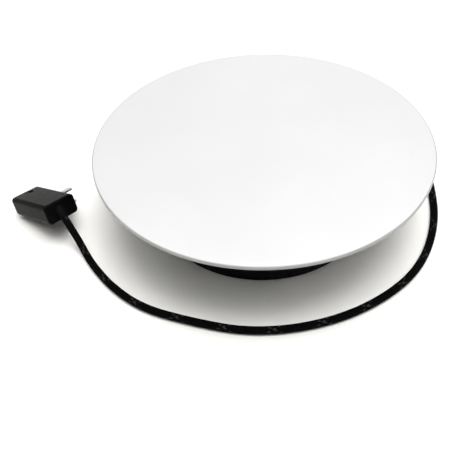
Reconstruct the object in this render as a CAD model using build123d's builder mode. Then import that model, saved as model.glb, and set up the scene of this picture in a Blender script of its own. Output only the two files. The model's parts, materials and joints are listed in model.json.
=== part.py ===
from build123d import *
import os
from math import cos, radians, sin, tan

# Compact direct-drive pottery wheel for a table: a thin round wheel head on a hub and spindle, turned by a
# flat outer-rotor motor inside a low drum, with its power cord lying on the table.
# Frame: millimetres, origin on the wheel's axis at table height, +Z up, the drum's controls and cord at +Y.

# ---- driving dimensions -----------------------------------------------------------------------------------
HEAD_RADIUS = 150.0
HEAD_THICK = 3.2
HEAD_TOP = 74.7
HEAD_UNDER = HEAD_TOP - HEAD_THICK

SHELL_RADIUS = 103.5
SHELL_WALL = 3.0
SHELL_BOTTOM = 1.0
SHELL_TOP = 67.0
SHELL_MOUTH = 36.0
SHELL_INSIDE = SHELL_RADIUS - SHELL_WALL

PLATE_RADIUS = SHELL_INSIDE - 0.5
PLATE_BOTTOM = 2.0
PLATE_THICK = 2.0
PLATE_TOP = PLATE_BOTTOM + PLATE_THICK

SPINDLE_RADIUS = 6.0
SPINDLE_SHOULDER = 7.3
SPINDLE_BOTTOM = 7.0
SPINDLE_TOP = HEAD_UNDER - 2.0

BEARING_OUTER = 14.0
BEARING_WIDTH = 8.0
BEARING_PITCH = 10.0
BALL_RADIUS = 2.38
BALL_PLAY = 0.05
BALL_COUNT = 8
LOWER_BEARING = 14.0
UPPER_BEARING = 46.0
HOUSING_TOP = UPPER_BEARING + BEARING_WIDTH / 2

BELL_DISC = 51.5
BELL_THICK = 3.0
BELL_RADIUS = 60.0
BELL_SKIRT = 3.0
BELL_BOTTOM = 20.0
MAGNET_THICK = 3.0
MAGNET_COUNT = 14
AIR_GAP = 0.6
STATOR_RADIUS = BELL_RADIUS - BELL_SKIRT - MAGNET_THICK - AIR_GAP
STATOR_LOW = 26.0
STATOR_HIGH = 42.0
TOOTH_COUNT = 12
TOOTH_WIDTH = 6.0

HUB_BOTTOM = BELL_DISC + BELL_THICK
HUB_LOW_FLANGE = 32.0
HUB_BOSS = 17.0
HUB_TOP_FLANGE = 45.0
ROTOR_SCREW_PITCH = 26.0
HOUSING_SCREW_PITCH = 32.0
M4 = 2.0
M3 = 1.5
M2_5 = 1.25

CORD = 6.7
CORD_LIE = CORD / 2 + 0.05

os.makedirs("parts", exist_ok=True)


def save(piece, label):
    """Name a finished piece and write it to its own file."""
    piece.part.label = label
    export_step(piece.part, f"parts/{label}.step")


def ring(outer, inner, low, high):
    """A plain ring about the wheel's axis, between two heights."""
    with BuildPart() as piece:
        with BuildSketch(Plane.XY.offset(low)):
            Circle(outer)
            Circle(inner, mode=Mode.SUBTRACT)
        extrude(amount=high - low)
    return piece


def wall_plane(azimuth, height, radius):
    """A plane square to the drum's wall: x along the wall, y up, z outwards."""
    a = radians(azimuth)
    return Plane(
        origin=(radius * cos(a), radius * sin(a), height),
        x_dir=(-sin(a), cos(a), 0),
        z_dir=(cos(a), sin(a), 0),
    )


def cap_screws(count, pitch, head_low, head_high, tip, head_radius=3.5, start=0.0):
    """Equal socket-head screws on a circle; the tip may lie above or below the head."""
    heads_up = tip < head_low
    shank_low, shank_high = (tip, head_low) if heads_up else (head_high, tip)
    socket = Plane.XY.offset(head_high) if heads_up else Plane(origin=(0, 0, head_low), z_dir=(0, 0, -1))
    with BuildPart() as screws:
        for plane, height, radius in (
            (Plane.XY.offset(head_low), head_high - head_low, head_radius),
            (Plane.XY.offset(shank_low), shank_high - shank_low, M4),
        ):
            with BuildSketch(plane):
                with PolarLocations(pitch, count, start_angle=start):
                    Circle(radius)
            extrude(amount=height)
        with BuildSketch(socket):
            with PolarLocations(pitch, count, start_angle=start if heads_up else -start):
                RegularPolygon(head_radius * 0.5, 6)
        extrude(amount=-(head_high - head_low) * 0.6, mode=Mode.SUBTRACT)
    return screws


# ---- wheel head and hub -----------------------------------------------------------------------------------
with BuildPart() as wheel_head:
    with BuildSketch(Plane.XY.offset(HEAD_UNDER)):
        Circle(HEAD_RADIUS)
    extrude(amount=HEAD_THICK)
    fillet(wheel_head.edges().group_by(Axis.Z)[-1], radius=0.9)
    fillet(wheel_head.edges().group_by(Axis.Z)[0], radius=0.6)
save(wheel_head, "wheel_head")

SET_SCREW_HEIGHT = 63.0
SET_SCREW_RADIUS = 2.5
SET_SCREW_PLANES = [
    Plane(origin=(0, 0, SET_SCREW_HEIGHT), x_dir=(0, 1, 0), z_dir=(1, 0, 0)),
    Plane(origin=(0, 0, SET_SCREW_HEIGHT), x_dir=(-1, 0, 0), z_dir=(0, 1, 0)),
]

HUB_FLANGE_THICK = 3.5
HUB_TOP_THICK = 3.0

with BuildPart() as hub:
    with BuildSketch(Plane.XZ):
        with BuildLine():
            Polyline(
                (SPINDLE_RADIUS, HUB_BOTTOM),
                (HUB_LOW_FLANGE, HUB_BOTTOM),
                (HUB_LOW_FLANGE, HUB_BOTTOM + HUB_FLANGE_THICK),
                (HUB_BOSS, HUB_BOTTOM + HUB_FLANGE_THICK),
                (HUB_BOSS, HEAD_UNDER - HUB_TOP_THICK),
                (HUB_TOP_FLANGE, HEAD_UNDER - HUB_TOP_THICK),
                (HUB_TOP_FLANGE, HEAD_UNDER),
                (0, HEAD_UNDER),
                (0, SPINDLE_TOP),
                (SPINDLE_RADIUS, SPINDLE_TOP),
                close=True,
            )
        make_face()
    revolve(axis=Axis.Z)
    with BuildSketch(Plane.XY.offset(HUB_BOTTOM)):
        with PolarLocations(ROTOR_SCREW_PITCH, 4):
            Circle(M4)
    extrude(amount=HUB_FLANGE_THICK, mode=Mode.SUBTRACT)
    for plane in SET_SCREW_PLANES:
        with BuildSketch(plane):
            Circle(SET_SCREW_RADIUS)
        extrude(amount=HUB_BOSS + 1, mode=Mode.SUBTRACT)
save(hub, "hub")

with BuildPart() as hub_set_screws:
    for plane in SET_SCREW_PLANES:
        with BuildSketch(plane.offset(SPINDLE_RADIUS)):
            Circle(SET_SCREW_RADIUS)
        extrude(amount=HUB_BOSS - SPINDLE_RADIUS - 1)
        with BuildSketch(plane.offset(HUB_BOSS - 1)):
            RegularPolygon(1.4, 6)
        extrude(amount=-2.5, mode=Mode.SUBTRACT)
save(hub_set_screws, "hub_set_screws")

# ---- spindle, spacer and retaining ring -------------------------------------------------------------------
RING_GROOVE_THICK = 1.0
RING_GROOVE_LOW = LOWER_BEARING - BEARING_WIDTH / 2 - RING_GROOVE_THICK
RING_GROOVE_RADIUS = 5.3
RING_OUTER = 8.0

with BuildPart() as spindle:
    with BuildSketch(Plane.XY.offset(SPINDLE_BOTTOM)):
        Circle(SPINDLE_RADIUS)
    extrude(amount=SPINDLE_TOP - SPINDLE_BOTTOM)
    with BuildSketch(Plane.XY.offset(LOWER_BEARING + BEARING_WIDTH / 2)):
        Circle(SPINDLE_SHOULDER)
    extrude(amount=UPPER_BEARING - LOWER_BEARING - BEARING_WIDTH)
    with BuildSketch(Plane.XY.offset(RING_GROOVE_LOW)):
        Circle(SPINDLE_RADIUS + 1)
        Circle(RING_GROOVE_RADIUS, mode=Mode.SUBTRACT)
    extrude(amount=RING_GROOVE_THICK, mode=Mode.SUBTRACT)
    chamfer(spindle.edges().group_by(Axis.Z)[0], length=0.6)
save(spindle, "spindle")

with BuildPart() as retaining_ring:
    with BuildSketch(Plane.XY.offset(RING_GROOVE_LOW)):
        Circle(RING_OUTER)
        Circle(RING_GROOVE_RADIUS, mode=Mode.SUBTRACT)
        with Locations((RING_OUTER, 0)):
            Rectangle(6.0, 4.0, mode=Mode.SUBTRACT)
    extrude(amount=RING_GROOVE_THICK)
save(retaining_ring, "retaining_ring")

spacer_ring = ring(RING_OUTER, SPINDLE_RADIUS, HOUSING_TOP, BELL_DISC)
save(spacer_ring, "spacer_ring")

# ---- ball bearings ----------------------------------------------------------------------------------------
INNER_RACE = 8.2
OUTER_RACE = 11.8
GROOVE_RADIUS = BALL_RADIUS + BALL_PLAY
CAGE_TALL = 6.4
CAGE_HALF_WALL = 0.8


def race(height, outer, inner):
    """One bearing ring with the ball groove turned in it."""
    with BuildPart() as piece:
        with BuildSketch(Plane.XY.offset(height - BEARING_WIDTH / 2)):
            Circle(outer)
            Circle(inner, mode=Mode.SUBTRACT)
        extrude(amount=BEARING_WIDTH)
        with BuildSketch(Plane.XZ):
            with Locations((BEARING_PITCH, height)):
                Circle(GROOVE_RADIUS)
        revolve(axis=Axis.Z, mode=Mode.SUBTRACT)
    return piece


def ball_set(height):
    """The balls of one bearing."""
    with BuildPart() as balls:
        with Locations((0, 0, height)):
            with PolarLocations(BEARING_PITCH, BALL_COUNT):
                Sphere(BALL_RADIUS)
    return balls


def ball_cage(height):
    """The ring that keeps the balls apart, with a round pocket for each."""
    with BuildPart() as cage:
        with BuildSketch(Plane.XY.offset(height - CAGE_TALL / 2)):
            Circle(BEARING_PITCH + CAGE_HALF_WALL)
            Circle(BEARING_PITCH - CAGE_HALF_WALL, mode=Mode.SUBTRACT)
        extrude(amount=CAGE_TALL)
        for k in range(BALL_COUNT):
            with BuildSketch(wall_plane(360 / BALL_COUNT * k, height, BEARING_PITCH - 2)):
                Circle(GROOVE_RADIUS)
            extrude(amount=4, mode=Mode.SUBTRACT)
    return cage


for level, height in (("lower", LOWER_BEARING), ("upper", UPPER_BEARING)):
    save(race(height, BEARING_OUTER, OUTER_RACE), f"{level}_outer_race")
    save(race(height, INNER_RACE, SPINDLE_RADIUS), f"{level}_inner_race")
    save(ball_set(height), f"{level}_balls")
    save(ball_cage(height), f"{level}_ball_cage")

# ---- bearing housing --------------------------------------------------------------------------------------
HOUSING_FLANGE = 40.0
HOUSING_FLANGE_TOP = PLATE_TOP + 4.0
HOUSING_TUBE = 20.0
STATOR_SEAT = 18.0
HOUSING_BORE = 12.0

with BuildPart() as bearing_housing:
    with BuildSketch(Plane.XZ):
        with BuildLine():
            Polyline(
                (BEARING_OUTER, PLATE_TOP),
                (HOUSING_FLANGE, PLATE_TOP),
                (HOUSING_FLANGE, HOUSING_FLANGE_TOP),
                (HOUSING_TUBE, HOUSING_FLANGE_TOP),
                (HOUSING_TUBE, STATOR_LOW),
                (STATOR_SEAT, STATOR_LOW),
                (STATOR_SEAT, HOUSING_TOP),
                (BEARING_OUTER, HOUSING_TOP),
                (BEARING_OUTER, UPPER_BEARING - BEARING_WIDTH / 2),
                (HOUSING_BORE, UPPER_BEARING - BEARING_WIDTH / 2),
                (HOUSING_BORE, LOWER_BEARING + BEARING_WIDTH / 2),
                (BEARING_OUTER, LOWER_BEARING + BEARING_WIDTH / 2),
                close=True,
            )
        make_face()
    revolve(axis=Axis.Z)
    with BuildSketch(Plane.XY.offset(PLATE_TOP)):
        with PolarLocations(HOUSING_SCREW_PITCH, 4, start_angle=45):
            Circle(M4)
    extrude(amount=HOUSING_FLANGE_TOP - PLATE_TOP, mode=Mode.SUBTRACT)
save(bearing_housing, "bearing_housing")

housing_screws = cap_screws(
    4, HOUSING_SCREW_PITCH, HOUSING_FLANGE_TOP, HOUSING_FLANGE_TOP + 3.0, PLATE_BOTTOM, start=45
)
save(housing_screws, "housing_screws")

# ---- motor ------------------------------------------------------------------------------------------------
with BuildPart() as rotor_bell:
    with BuildSketch(Plane.XY.offset(BELL_DISC)):
        Circle(BELL_RADIUS)
        Circle(SPINDLE_RADIUS, mode=Mode.SUBTRACT)
        with PolarLocations(42.0, 6):
            Circle(7.0, mode=Mode.SUBTRACT)
        with PolarLocations(ROTOR_SCREW_PITCH, 4):
            Circle(M4, mode=Mode.SUBTRACT)
    extrude(amount=BELL_THICK)
    with BuildSketch(Plane.XY.offset(BELL_BOTTOM)):
        Circle(BELL_RADIUS)
        Circle(BELL_RADIUS - BELL_SKIRT, mode=Mode.SUBTRACT)
    extrude(amount=BELL_DISC - BELL_BOTTOM)
    top_circles = rotor_bell.edges().filter_by(GeomType.CIRCLE).group_by(Axis.Z)[-1]
    fillet(top_circles.sort_by(SortBy.RADIUS)[-1], radius=1.5)
save(rotor_bell, "rotor_bell")

rotor_screws = cap_screws(4, ROTOR_SCREW_PITCH, BELL_DISC - 2.8, BELL_DISC, HUB_BOTTOM + HUB_FLANGE_THICK)
save(rotor_screws, "rotor_screws")

MAGNET_ANGLE = 0.86 * 360 / MAGNET_COUNT

with BuildPart() as one_magnet:
    with BuildSketch(Plane.XY.offset(STATOR_LOW - 4)):
        with BuildLine():
            inner = CenterArc((0, 0), STATOR_RADIUS + AIR_GAP, -MAGNET_ANGLE / 2, MAGNET_ANGLE)
            outer = CenterArc((0, 0), BELL_RADIUS - BELL_SKIRT, -MAGNET_ANGLE / 2, MAGNET_ANGLE)
            Line(inner @ 0, outer @ 0)
            Line(inner @ 1, outer @ 1)
        make_face()
    extrude(amount=STATOR_HIGH - STATOR_LOW + 8)

with BuildPart() as rotor_magnets:
    with PolarLocations(0, MAGNET_COUNT):
        add(one_magnet.part)
save(rotor_magnets, "rotor_magnets")

YOKE_RADIUS = 27.0
SHOE_INNER = STATOR_RADIUS - 4.0
SHOE_ANGLE = 0.76 * 360 / TOOTH_COUNT
SLOT_MOUTH = 2 * STATOR_RADIUS * sin(radians(180 / TOOTH_COUNT - SHOE_ANGLE / 2))

with BuildPart() as stator_core:
    with BuildSketch(Plane.XY.offset(STATOR_LOW)):
        Circle(STATOR_RADIUS)
        Circle(SHOE_INNER, mode=Mode.SUBTRACT)
        with PolarLocations(STATOR_RADIUS, TOOTH_COUNT, start_angle=180 / TOOTH_COUNT):
            Rectangle(12.0, SLOT_MOUTH, mode=Mode.SUBTRACT)
        Circle(YOKE_RADIUS)
        with PolarLocations((YOKE_RADIUS + SHOE_INNER) / 2, TOOTH_COUNT):
            Rectangle(SHOE_INNER - YOKE_RADIUS + 2, TOOTH_WIDTH)
        Circle(STATOR_SEAT, mode=Mode.SUBTRACT)
    extrude(amount=STATOR_HIGH - STATOR_LOW)
save(stator_core, "stator_core")

COIL_BUILD = 3.0
COIL_CENTRE = (YOKE_RADIUS + SHOE_INNER) / 2
COIL_LONG = SHOE_INNER - YOKE_RADIUS - 3
TOOTH_TALL = STATOR_HIGH - STATOR_LOW

with BuildPart() as one_coil:
    with Locations((COIL_CENTRE, 0, (STATOR_LOW + STATOR_HIGH) / 2)):
        Box(COIL_LONG, TOOTH_WIDTH + 2 * COIL_BUILD, TOOTH_TALL + 2 * COIL_BUILD)
    fillet(one_coil.edges().filter_by(Axis.X), radius=2.4)
    with Locations((COIL_CENTRE, 0, (STATOR_LOW + STATOR_HIGH) / 2)):
        Box(COIL_LONG, TOOTH_WIDTH, TOOTH_TALL, mode=Mode.SUBTRACT)

with BuildPart() as stator_windings:
    with PolarLocations(0, TOOTH_COUNT):
        add(one_coil.part)
save(stator_windings, "stator_windings")

# ---- base shell -------------------------------------------------------------------------------------------
CORD_AZIMUTH = 90.0
CORD_HEIGHT = 12.6
CORD_HOLE = 5.0
SWITCH_AZIMUTH = 118.0
KNOB_AZIMUTH = 146.0
CONTROL_HEIGHT = 34.0
SWITCH_FACE = SHELL_RADIUS - 0.6
SWITCH_WIDE = 13.0
SWITCH_TALL = 19.0
SWITCH_BEZEL = 1.0
KNOB_HOLE = 3.6
BOSS_PITCH = SHELL_INSIDE - 5.5
BOSS_RADIUS = 4.5
BOSS_WEB = 7.0
BOSS_TOP = 20.0
BOSS_COUNT = 6
BOSS_START = 15.0

with BuildPart() as base_shell:
    with BuildSketch(Plane.XY.offset(SHELL_BOTTOM)):
        Circle(SHELL_RADIUS)
    extrude(amount=SHELL_TOP - SHELL_BOTTOM)
    fillet(base_shell.edges().group_by(Axis.Z)[-1], radius=2.5)
    with BuildSketch(Plane.XY.offset(SHELL_BOTTOM)):
        Circle(SHELL_INSIDE)
    extrude(amount=SHELL_TOP - SHELL_BOTTOM - SHELL_WALL, mode=Mode.SUBTRACT)
    with BuildSketch(Plane.XY.offset(SHELL_TOP - SHELL_WALL)):
        Circle(SHELL_MOUTH)
    extrude(amount=SHELL_WALL, mode=Mode.SUBTRACT)
    with BuildSketch(Plane.XY.offset(PLATE_TOP)):
        with PolarLocations(BOSS_PITCH, BOSS_COUNT, start_angle=BOSS_START):
            Circle(BOSS_RADIUS)
        with PolarLocations(BOSS_PITCH + BOSS_WEB / 2, BOSS_COUNT, start_angle=BOSS_START):
            Rectangle(BOSS_WEB, 2 * BOSS_RADIUS)
    extrude(amount=BOSS_TOP - PLATE_TOP)
    with BuildSketch(Plane.XY.offset(PLATE_TOP)):
        with PolarLocations(BOSS_PITCH, BOSS_COUNT, start_angle=BOSS_START):
            Circle(M3)
    extrude(amount=BOSS_TOP - PLATE_TOP - 4, mode=Mode.SUBTRACT)
    with BuildSketch(wall_plane(CORD_AZIMUTH, CORD_HEIGHT, SHELL_INSIDE - 3)):
        Circle(CORD_HOLE)
    extrude(amount=10, mode=Mode.SUBTRACT)
    with BuildSketch(wall_plane(KNOB_AZIMUTH, CONTROL_HEIGHT, SHELL_INSIDE - 3)):
        Circle(KNOB_HOLE)
    extrude(amount=10, mode=Mode.SUBTRACT)
    with BuildSketch(wall_plane(SWITCH_AZIMUTH, CONTROL_HEIGHT, SHELL_INSIDE - 3)):
        Rectangle(SWITCH_WIDE, SWITCH_TALL)
    extrude(amount=10, mode=Mode.SUBTRACT)
    with BuildSketch(wall_plane(SWITCH_AZIMUTH, CONTROL_HEIGHT, SWITCH_FACE)):
        RectangleRounded(SWITCH_WIDE + 2 * SWITCH_BEZEL, SWITCH_TALL + 2 * SWITCH_BEZEL, 1.2)
    extrude(amount=5, mode=Mode.SUBTRACT)
save(base_shell, "base_shell")

# ---- base plate, its screws and the feet ------------------------------------------------------------------
BOARD_AZIMUTH = 45.0
BOARD_CENTRE = 77.0
BOARD_WIDE = 26.0
BOARD_LONG = 60.0
BOARD_LOW = 11.0
BOARD_THICK = 1.6
BOARD_MARGIN = 3.0
BOARD_HOLES = [
    (x, y)
    for x in (-BOARD_WIDE / 2 + BOARD_MARGIN, BOARD_WIDE / 2 - BOARD_MARGIN)
    for y in (-BOARD_LONG / 2 + BOARD_MARGIN, BOARD_LONG / 2 - BOARD_MARGIN)
]
BOARD_PLANE = Plane(
    origin=(BOARD_CENTRE * cos(radians(BOARD_AZIMUTH)), BOARD_CENTRE * sin(radians(BOARD_AZIMUTH)), 0),
    x_dir=(cos(radians(BOARD_AZIMUTH)), sin(radians(BOARD_AZIMUTH)), 0),
    z_dir=(0, 0, 1),
)
VENT_COUNT = 12
FOOT_PITCH = 80.0
FOOT_RADIUS = 9.0

with BuildPart() as base_plate:
    with BuildSketch(Plane.XY.offset(PLATE_BOTTOM)):
        Circle(PLATE_RADIUS)
        with PolarLocations(HOUSING_SCREW_PITCH, 4, start_angle=45):
            Circle(M4, mode=Mode.SUBTRACT)
        with PolarLocations(BOSS_PITCH, BOSS_COUNT, start_angle=BOSS_START):
            Circle(M3, mode=Mode.SUBTRACT)
        with PolarLocations(55.0, VENT_COUNT, start_angle=180 / VENT_COUNT):
            SlotOverall(16.0, 3.0, mode=Mode.SUBTRACT)
    extrude(amount=PLATE_THICK)
    with BuildSketch(BOARD_PLANE.offset(PLATE_BOTTOM)):
        with Locations(*BOARD_HOLES):
            Circle(M2_5)
    extrude(amount=PLATE_THICK, mode=Mode.SUBTRACT)
save(base_plate, "base_plate")

with BuildPart() as base_screws:
    with BuildSketch(Plane.XY.offset(PLATE_BOTTOM)):
        with PolarLocations(BOSS_PITCH, BOSS_COUNT, start_angle=BOSS_START):
            Circle(M3)
    extrude(amount=BOSS_TOP - PLATE_BOTTOM - 5)
    with BuildSketch(Plane.XY.offset(SHELL_BOTTOM + 0.1)):
        with PolarLocations(BOSS_PITCH, BOSS_COUNT, start_angle=BOSS_START):
            Circle(2.8)
    extrude(amount=PLATE_BOTTOM - SHELL_BOTTOM - 0.1)
    with BuildSketch(Plane.XY.offset(SHELL_BOTTOM + 0.1)):
        with PolarLocations(BOSS_PITCH, BOSS_COUNT, start_angle=BOSS_START):
            Rectangle(3.6, 0.7)
            Rectangle(0.7, 3.6)
    extrude(amount=0.6, mode=Mode.SUBTRACT)
save(base_screws, "base_screws")

with BuildPart() as rubber_feet:
    with BuildSketch(Plane.XY):
        with PolarLocations(FOOT_PITCH, 4):
            Circle(FOOT_RADIUS)
    extrude(amount=PLATE_BOTTOM)
    fillet(rubber_feet.edges().group_by(Axis.Z)[0], radius=0.5)
save(rubber_feet, "rubber_feet")

# ---- control board ----------------------------------------------------------------------------------------
BOARD_TOP = BOARD_LOW + BOARD_THICK

with BuildPart() as board_standoffs:
    with BuildSketch(BOARD_PLANE.offset(PLATE_TOP)):
        with Locations(*BOARD_HOLES):
            RegularPolygon(2.9, 6)
            Circle(M2_5, mode=Mode.SUBTRACT)
    extrude(amount=BOARD_LOW - PLATE_TOP)
save(board_standoffs, "board_standoffs")

with BuildPart() as board_screws:
    with BuildSketch(BOARD_PLANE.offset(BOARD_LOW - 4)):
        with Locations(*BOARD_HOLES):
            Circle(M2_5)
    extrude(amount=BOARD_THICK + 4)
    with BuildSketch(BOARD_PLANE.offset(BOARD_TOP)):
        with Locations(*BOARD_HOLES):
            Circle(2.3)
    extrude(amount=1.6)
save(board_screws, "board_screws")

with BuildPart() as control_board:
    with BuildSketch(BOARD_PLANE.offset(BOARD_LOW)):
        Rectangle(BOARD_WIDE, BOARD_LONG)
        with Locations(*BOARD_HOLES):
            Circle(M2_5, mode=Mode.SUBTRACT)
    extrude(amount=BOARD_THICK)
save(control_board, "control_board")

with BuildPart() as capacitors:
    with BuildSketch(BOARD_PLANE.offset(BOARD_TOP)):
        with Locations((-4, 0), (-4, 13.5)):
            Circle(6.0)
    extrude(amount=24)
    fillet(capacitors.edges().group_by(Axis.Z)[-1], radius=0.8)
save(capacitors, "capacitors")

with BuildPart() as choke:
    with BuildSketch(BOARD_PLANE.offset(BOARD_TOP)):
        with Locations((7.0, 8.0)):
            Circle(4.6)
            Circle(1.8, mode=Mode.SUBTRACT)
    extrude(amount=9)
save(choke, "choke")

with BuildPart() as heat_sink:
    with BuildSketch(BOARD_PLANE.offset(BOARD_TOP)):
        with Locations((8.0, -14.0)):
            Rectangle(3.0, 18.0)
        with Locations(*[(4.0, -22.0 + 4.0 * k) for k in range(5)]):
            Rectangle(6.0, 1.4)
    extrude(amount=22)
save(heat_sink, "heat_sink")

with BuildPart() as terminal_block:
    with BuildSketch(BOARD_PLANE.offset(BOARD_TOP)):
        with Locations((0, 25.5)):
            Rectangle(13.0, 8.0)
    extrude(amount=10)
    with BuildSketch(BOARD_PLANE.offset(BOARD_TOP + 10)):
        with Locations((-3.2, 25.5), (3.2, 25.5)):
            Circle(1.9)
    extrude(amount=-4, mode=Mode.SUBTRACT)
save(terminal_block, "terminal_block")

# ---- rocker switch ----------------------------------------------------------------------------------------
SWITCH_PROUD = 1.8
SWITCH_DEEP = 16.0
ROCKER_OPENING = 17.0
ROCKER_LONG = 14.8
ROCKER_WIDE = 9.6
ROCKER_PIVOT = -3.0
ROCKER_TILT = 10.0
PIVOT_RADIUS = 1.0
RUNNING = 0.05
SWITCH_FRONT = SWITCH_FACE + SWITCH_PROUD
SWITCH_SIDE = Plane(
    origin=wall_plane(SWITCH_AZIMUTH, CONTROL_HEIGHT, SWITCH_FRONT + ROCKER_PIVOT).origin,
    x_dir=wall_plane(SWITCH_AZIMUTH, CONTROL_HEIGHT, 0).z_dir,
    z_dir=-wall_plane(SWITCH_AZIMUTH, CONTROL_HEIGHT, 0).x_dir,
)

with BuildPart() as switch_body:
    with BuildSketch(wall_plane(SWITCH_AZIMUTH, CONTROL_HEIGHT, SWITCH_FACE)):
        RectangleRounded(SWITCH_WIDE + 2 * SWITCH_BEZEL - 0.1, SWITCH_TALL + 2 * SWITCH_BEZEL - 0.1, 1.2)
    extrude(amount=SWITCH_PROUD, taper=12)
    with BuildSketch(wall_plane(SWITCH_AZIMUTH, CONTROL_HEIGHT, SWITCH_FACE)):
        Rectangle(SWITCH_WIDE - 0.1, SWITCH_TALL - 0.1)
    extrude(amount=-SWITCH_DEEP)
    with BuildSketch(wall_plane(SWITCH_AZIMUTH, CONTROL_HEIGHT, SWITCH_FRONT)):
        Rectangle(ROCKER_WIDE + 0.6, ROCKER_OPENING)
    extrude(amount=-7.0, mode=Mode.SUBTRACT)
    with BuildSketch(SWITCH_SIDE):
        Circle(PIVOT_RADIUS + RUNNING)
    extrude(amount=ROCKER_WIDE / 2 + 1.0, both=True, mode=Mode.SUBTRACT)
save(switch_body, "switch_body")

with BuildPart() as switch_terminals:
    with BuildSketch(wall_plane(SWITCH_AZIMUTH, CONTROL_HEIGHT, SWITCH_FACE - SWITCH_DEEP)):
        with Locations((0, -5), (0, 2)):
            Rectangle(4.8, 0.8)
    extrude(amount=-6)
save(switch_terminals, "switch_terminals")

with BuildPart() as switch_rocker:
    with BuildSketch(SWITCH_SIDE):
        with BuildLine():
            Polyline(
                (5.2, -ROCKER_LONG / 2),
                (3.4, 0),
                (5.2, ROCKER_LONG / 2),
                (1.0, ROCKER_LONG / 2),
                (-2.2, 3.0),
                (-2.2, -3.0),
                (1.0, -ROCKER_LONG / 2),
                close=True,
            )
        make_face()
    extrude(amount=ROCKER_WIDE / 2, both=True)
    with BuildSketch(SWITCH_SIDE):
        Circle(PIVOT_RADIUS)
    extrude(amount=ROCKER_WIDE / 2 + 0.8, both=True)
switch_rocker.part = switch_rocker.part.rotate(Axis(SWITCH_SIDE.origin, SWITCH_SIDE.z_dir), ROCKER_TILT)
save(switch_rocker, "switch_rocker")

# ---- speed control ----------------------------------------------------------------------------------------
SHAFT_RADIUS = 3.0
BUSHING_RADIUS = 3.5
NUT_THICK = 2.0
KNOB_BACK = SHELL_RADIUS + 0.8
KNOB_DEEP = 14.0
KNOB_RADIUS = 12.0
SHAFT_INNER = SHELL_INSIDE - 7.0
SHAFT_OUTER = KNOB_BACK + KNOB_DEEP - 3.0


def on_knob(radius):
    """The plane across the speed control's axis at a distance from the wheel's axis."""
    return wall_plane(KNOB_AZIMUTH, CONTROL_HEIGHT, radius)


with BuildPart() as potentiometer:
    with BuildSketch(on_knob(SHELL_INSIDE - 10.5)):
        Circle(8.2)
    extrude(amount=10.0)
    with BuildSketch(on_knob(SHELL_INSIDE - 0.5)):
        Circle(BUSHING_RADIUS)
    extrude(amount=SHELL_WALL + 0.5 + NUT_THICK + 0.6)
    with BuildSketch(on_knob(SHELL_INSIDE - 5.5)):
        with Locations((0, -9.0)):
            Rectangle(10.0, 6.0)
    extrude(amount=1.6)
    with BuildSketch(on_knob(SHAFT_INNER - 0.3)):
        Circle(SHAFT_RADIUS + RUNNING)
    extrude(amount=30, mode=Mode.SUBTRACT)
save(potentiometer, "potentiometer")

with BuildPart() as potentiometer_nut:
    with BuildSketch(on_knob(SHELL_RADIUS)):
        RegularPolygon(5.6, 6)
        Circle(BUSHING_RADIUS, mode=Mode.SUBTRACT)
    extrude(amount=NUT_THICK)
save(potentiometer_nut, "potentiometer_nut")

with BuildPart() as potentiometer_shaft:
    with BuildSketch(on_knob(SHAFT_INNER)):
        Circle(SHAFT_RADIUS)
    extrude(amount=SHAFT_OUTER - SHAFT_INNER)
save(potentiometer_shaft, "potentiometer_shaft")

with BuildPart() as speed_knob:
    with BuildSketch(on_knob(KNOB_BACK)):
        Circle(KNOB_RADIUS)
    extrude(amount=KNOB_DEEP, taper=3)
    fillet(speed_knob.edges().sort_by(Axis(on_knob(0).origin, on_knob(0).z_dir))[-1], radius=1.2)
    with BuildSketch(on_knob(KNOB_BACK)):
        Circle(7.2)
    extrude(amount=NUT_THICK + 1.4, mode=Mode.SUBTRACT)
    with BuildSketch(on_knob(KNOB_BACK)):
        Circle(SHAFT_RADIUS)
    extrude(amount=SHAFT_OUTER - KNOB_BACK, mode=Mode.SUBTRACT)
    with BuildSketch(on_knob(KNOB_BACK + 3.0)):
        with PolarLocations(KNOB_RADIUS + 0.6, 18, start_angle=10):
            Circle(1.1)
    extrude(amount=KNOB_DEEP, mode=Mode.SUBTRACT)
    with BuildSketch(on_knob(KNOB_BACK + KNOB_DEEP)):
        with Locations((0, KNOB_RADIUS * 0.62)):
            Rectangle(1.2, 7.0)
    extrude(amount=-0.6, mode=Mode.SUBTRACT)
save(speed_knob, "speed_knob")

# ---- strain relief and inner wires ------------------------------------------------------------------------
RELIEF_TIP = 130.0
RELIEF_TIP_RADIUS = CORD / 2 + 0.8

with BuildPart() as strain_relief:
    with BuildSketch(Plane.YZ):
        with BuildLine():
            Polyline(
                (SHELL_INSIDE - 3.0, CORD_HEIGHT),
                (SHELL_INSIDE - 3.0, CORD_HEIGHT + 7.5),
                (SHELL_INSIDE - 0.6, CORD_HEIGHT + 7.5),
                (SHELL_INSIDE - 0.6, CORD_HEIGHT + CORD_HOLE - 0.05),
                (SHELL_RADIUS + 0.1, CORD_HEIGHT + CORD_HOLE - 0.05),
                (SHELL_RADIUS + 0.1, CORD_HEIGHT + 7.5),
                (SHELL_RADIUS + 2.6, CORD_HEIGHT + 7.0),
                (SHELL_RADIUS + 3.2, CORD_HEIGHT + 5.6),
                (RELIEF_TIP, CORD_HEIGHT + RELIEF_TIP_RADIUS),
                (RELIEF_TIP, CORD_HEIGHT),
                close=True,
            )
        make_face()
    revolve(axis=Axis((0, 0, CORD_HEIGHT), (0, 1, 0)))
save(strain_relief, "strain_relief")


def tube(points, radii, diameter):
    """A round tube along straight runs joined by arcs."""
    with BuildPart() as piece:
        with BuildLine() as path:
            FilletPolyline(*points, radius=radii)
        with BuildSketch(Plane(origin=path.line @ 0, z_dir=path.line % 0)):
            Circle(diameter / 2)
        sweep(path=path.line)
    return piece


def wires(routes, diameter=1.8, bend=4.0):
    """Several insulated wires, one tube for each route."""
    with BuildPart() as bundle:
        for route in routes:
            add(tube(route, bend, diameter).part)
    return bundle


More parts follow.
